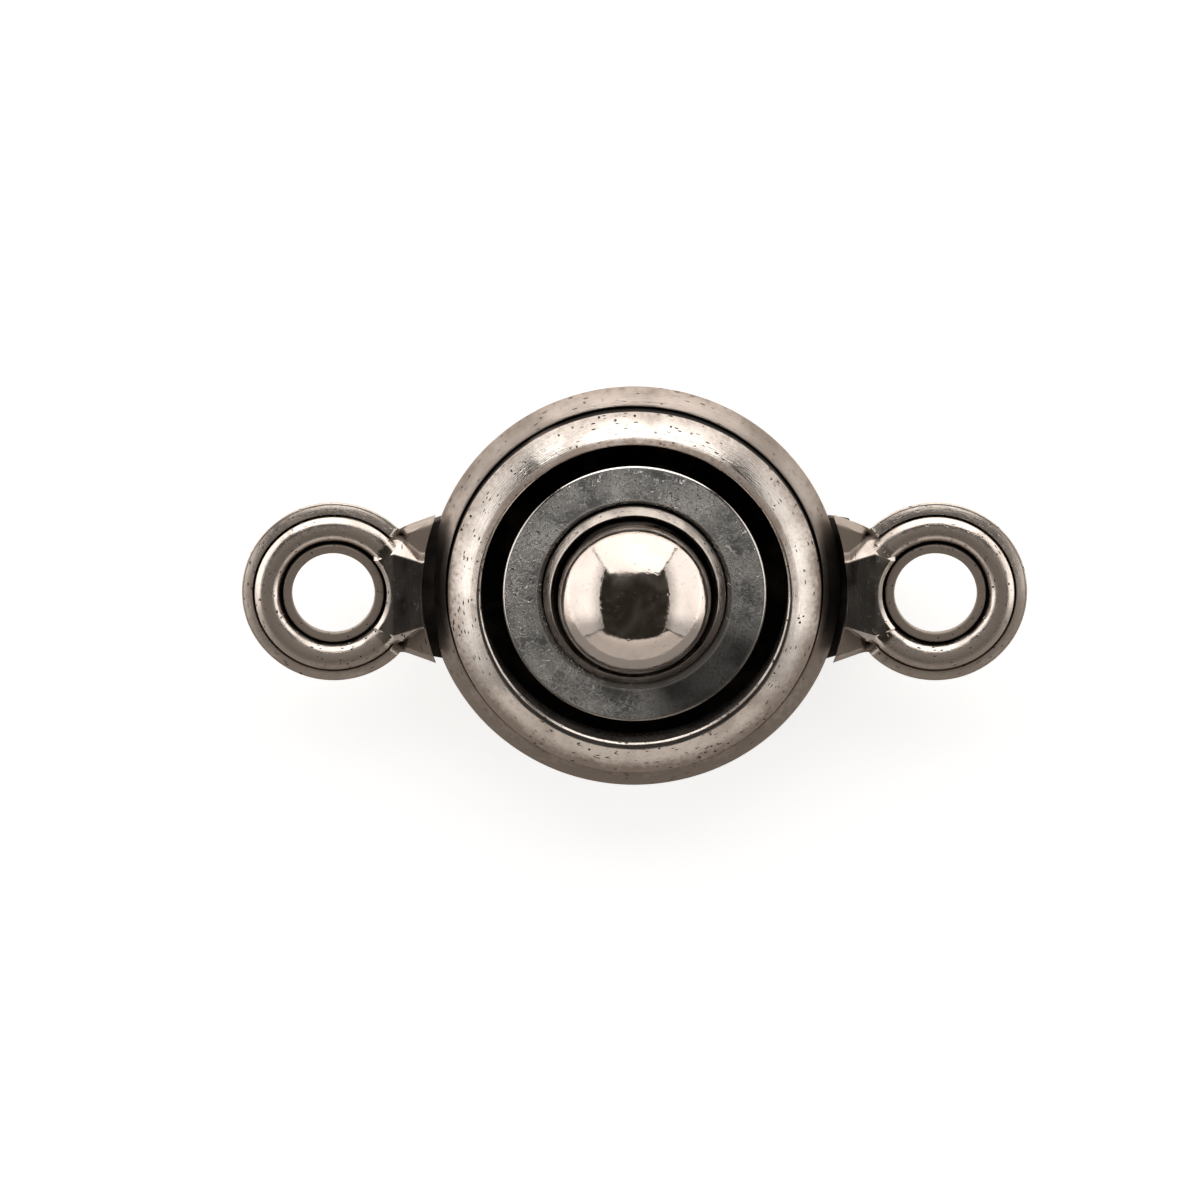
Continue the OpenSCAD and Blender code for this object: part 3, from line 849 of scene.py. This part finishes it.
def table():
    """A flat square sheet under the clasp, as a grid of equal squares, in metres."""
    side = np.linspace(-table_half, table_half, 31)
    x, y = np.meshgrid(side, side, indexing="ij")
    number = np.arange(x.size).reshape(x.shape)
    faces = np.stack([number[:-1, :-1], number[1:, :-1], number[1:, 1:], number[:-1, 1:]], -1).reshape(-1, 4)
    mesh = bpy.data.meshes.new("table")
    mesh.from_pydata(np.stack([x, y, 0 * x], -1).reshape(-1, 3), [], faces.tolist())
    sheet = bpy.data.objects.new("table", mesh)
    bpy.context.scene.collection.objects.link(sheet)
    return sheet


acrylic = bpy.data.materials.new("pale_acrylic")
acrylic.use_nodes = True
acrylic_tree = acrylic.node_tree
acrylic_shader = acrylic_tree.nodes["Principled BSDF"]
acrylic_shader.inputs["Base Color"].default_value = (0.80, 0.80, 0.80, 1)
acrylic_shader.inputs["Roughness"].default_value = 0.9
acrylic_shader.inputs["Specular IOR Level"].default_value = 0.0
acrylic_shader.inputs["Emission Color"].default_value = (1, 0.995, 0.985, 1)
acrylic_shader.inputs["Emission Strength"].default_value = table_glow
place = shader_node(acrylic_tree, "TexCoord", {}).outputs["Object"]
place = shader_node(acrylic_tree, "SeparateXYZ", {0: place}).outputs
aside = calculate(acrylic_tree, "MULTIPLY", calculate(acrylic_tree, "ABSOLUTE", place[0]), glow_aside)
aside = rise(acrylic_tree, calculate(acrylic_tree, "ADD", aside, place[1]), *glow_rises)
glow = shader_node(acrylic_tree, "MapRange", {0: aside, 3: mirrored_glow[0], 4: mirrored_glow[1]}).outputs[0]
dim = shader_node(acrylic_tree, "Emission", {"Color": (1.0, 0.95, 0.90, 1), "Strength": glow})
ray = shader_node(acrylic_tree, "LightPath", {})
seen = shader_node(acrylic_tree, "MixShader", {0: ray.outputs["Is Glossy Ray"], 1: acrylic_shader.outputs[0],
                                               2: dim.outputs[0]})
acrylic_tree.links.new(seen.outputs[0], acrylic_tree.nodes["Material Output"].inputs["Surface"])
floor = table()
floor.data.materials.append(acrylic)


# Light tent: four upright walls of lit cloth round the clasp, with an open, dark top through which the camera looks.
# The wall on the photo's upper side is the highest and brightest, and the one opposite it the lowest and warmest. They
# stand tent_away metres from the ball's axis.
tent_away = 0.25


def tent_wall(name, turn, width, height, glow, foot_glow, dim_end, colour):
    """An upright lit wall that faces the clasp, turned from +Y towards +X by so many degrees, sized in metres.

    Its glow, which is what a mirror shows of it, is foot_glow up to half its height and goes smoothly from there to
    glow at its top edge. It fades along the wall to the share dim_end of that at its end on the photo's lower side."""
    turn = math.radians(turn)
    lamp = bpy.data.lights.new(name, "AREA")
    lamp.shape = "RECTANGLE"
    lamp.size, lamp.size_y = width, height
    lamp.color = colour
    lamp.energy = math.pi * width * height
    lamp.use_nodes = True
    tree = lamp.node_tree
    place = shader_node(tree, "NewGeometry", {}).outputs["Parametric"]
    place = shader_node(tree, "SeparateXYZ", {0: place}).outputs
    upward = shader_node(tree, "MapRange", {0: place[1], 1: 0.5, 3: foot_glow, 4: glow},
                         interpolation_type="SMOOTHSTEP")
    low_end = (0.90, 0.65) if turn < 0 else (0.10, 0.35)
    fade = shader_node(tree, "MapRange", {0: place[0], 1: low_end[0], 2: low_end[1], 3: dim_end, 4: 1.0},
                       interpolation_type="SMOOTHSTEP")
    tree.links.new(calculate(tree, "MULTIPLY", upward.outputs[0], fade.outputs[0]),
                   tree.nodes["Emission"].inputs["Strength"])
    wall = bpy.data.objects.new(name, lamp)
    wall.location = (tent_away * math.sin(turn), tent_away * math.cos(turn), height / 2)
    wall.rotation_euler = (math.radians(90), 0, math.pi - turn)
    wall.visible_camera = False
    bpy.context.scene.collection.objects.link(wall)


daylight, warm = (1, 0.985, 0.965), (1, 0.93, 0.87)
tent_wall("wall_top", 0, width=0.485, height=0.275, glow=1.8, foot_glow=1.9, dim_end=1.0, colour=daylight)
tent_wall("wall_right", 90, width=0.49, height=0.205, glow=0.70, foot_glow=1.5, dim_end=0.4, colour=daylight)
tent_wall("wall_left", -90, width=0.49, height=0.205, glow=0.85, foot_glow=1.6, dim_end=0.4, colour=daylight)
tent_wall("wall_near", 180, width=0.485, height=0.144, glow=0.8, foot_glow=0.6, dim_end=1.0, colour=warm)

world = bpy.data.worlds.new("dark_top")
bpy.context.scene.world = world
world.use_nodes = True
world.node_tree.nodes["Background"].inputs["Color"].default_value = (0.030, 0.026, 0.021, 1)


# Camera: a long lens above the clasp's face, tipped 15 degrees towards its upper side, as in the photo. It is aimed so
# that the ball's axis stands at axis_px in the photo at the height axis_height, and a millimetre there is px_per_mm.
tip = math.radians(15)
photo_width = 1200
px_per_mm = 39.2
axis_px = (634.5, 593.3)
axis_height = 2.75
away = 0.5
camera_data = bpy.data.cameras.new("camera")
camera_data.sensor_width = 36
camera_data.lens = camera_data.sensor_width * away / (photo_width / px_per_mm * mm)
camera_data.clip_start = 0.01
camera_data.clip_end = 20
camera = bpy.data.objects.new("camera", camera_data)
right = np.array([1, 0, 0])
upward = np.array([0, math.cos(tip), -math.sin(tip)])
back = np.array([0, math.sin(tip), math.cos(tip)])
middle_px = photo_width / 2
aim = np.array([0, 0, axis_height]) - right * (axis_px[0] - middle_px) / px_per_mm - upward * (
    middle_px - axis_px[1]) / px_per_mm
camera.location = aim * mm + back * away
camera.rotation_euler = (-tip, 0, 0)
bpy.context.scene.collection.objects.link(camera)
bpy.context.scene.camera = camera
bpy.context.scene.view_settings.view_transform = "Standard"
